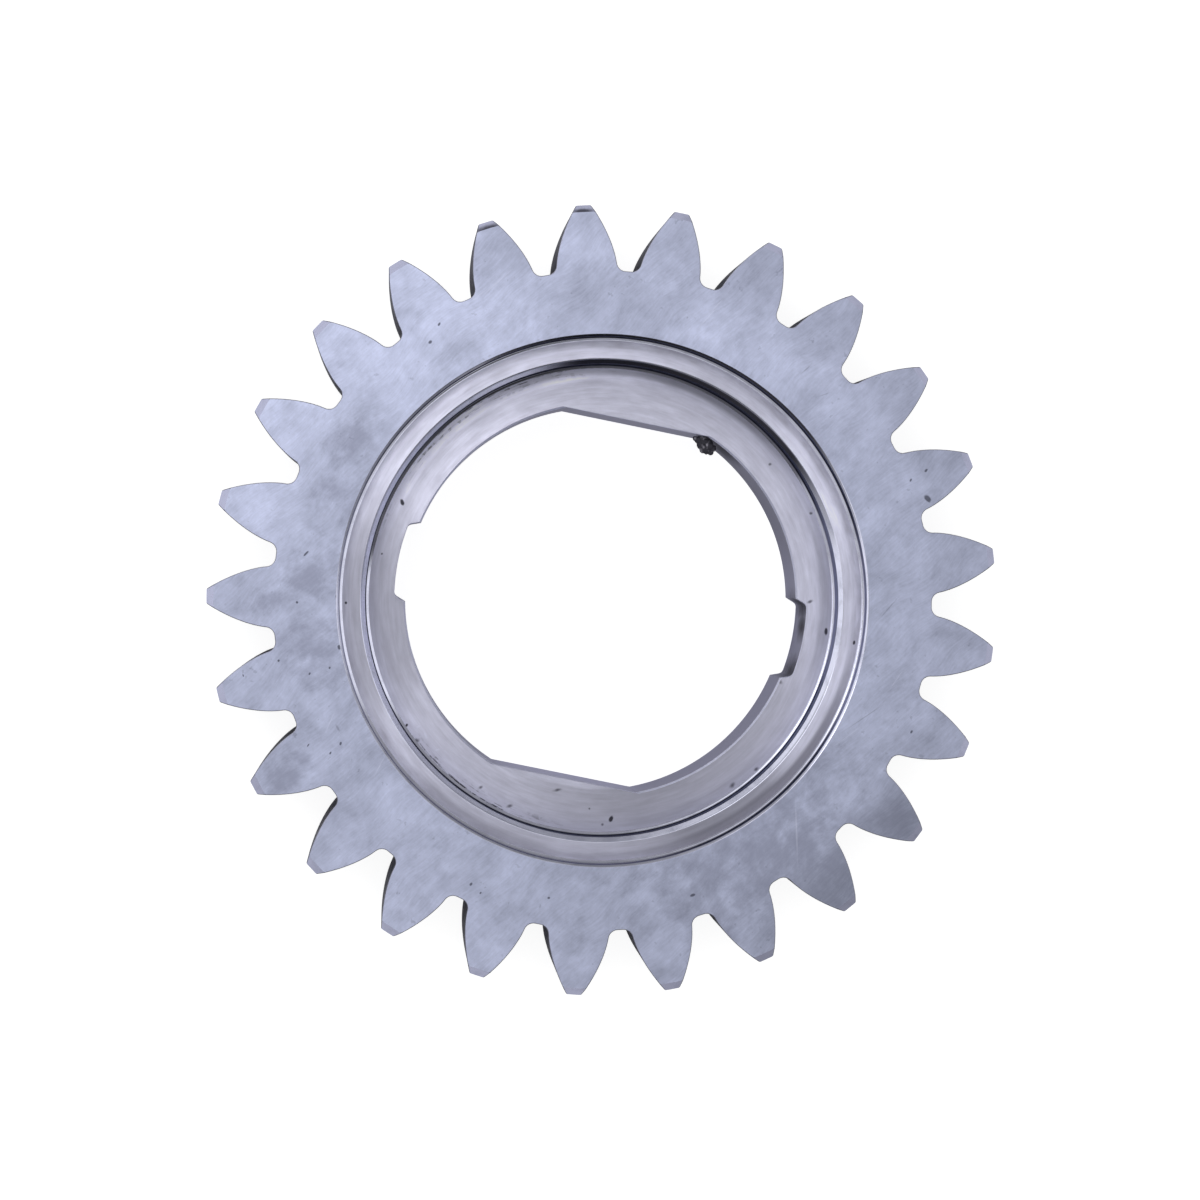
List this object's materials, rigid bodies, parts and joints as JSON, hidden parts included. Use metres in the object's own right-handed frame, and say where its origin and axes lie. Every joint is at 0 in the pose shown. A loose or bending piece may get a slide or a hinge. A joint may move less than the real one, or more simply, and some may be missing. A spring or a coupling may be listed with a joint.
{
  "type": "pump drive gear",
  "caption": "Spur gear with a stepped front recess and a round bore that has two flats and two notches, for driving a pump.",
  "frame": {"origin": "on the gear's axis at its plain back face", "axes": "+Z along the axis out of the recessed front face; the two notches of the bore lie on X, its two flats are square to Y, and one tooth points along +Y"},
  "size_m": [0.1078, 0.1077, 0.022],
  "materials": {
    "ground_steel": "ground and lightly worn"
  },
  "bodies": {
    "root": {"drive_gear": "ground_steel"}
  },
  "joints": []
}
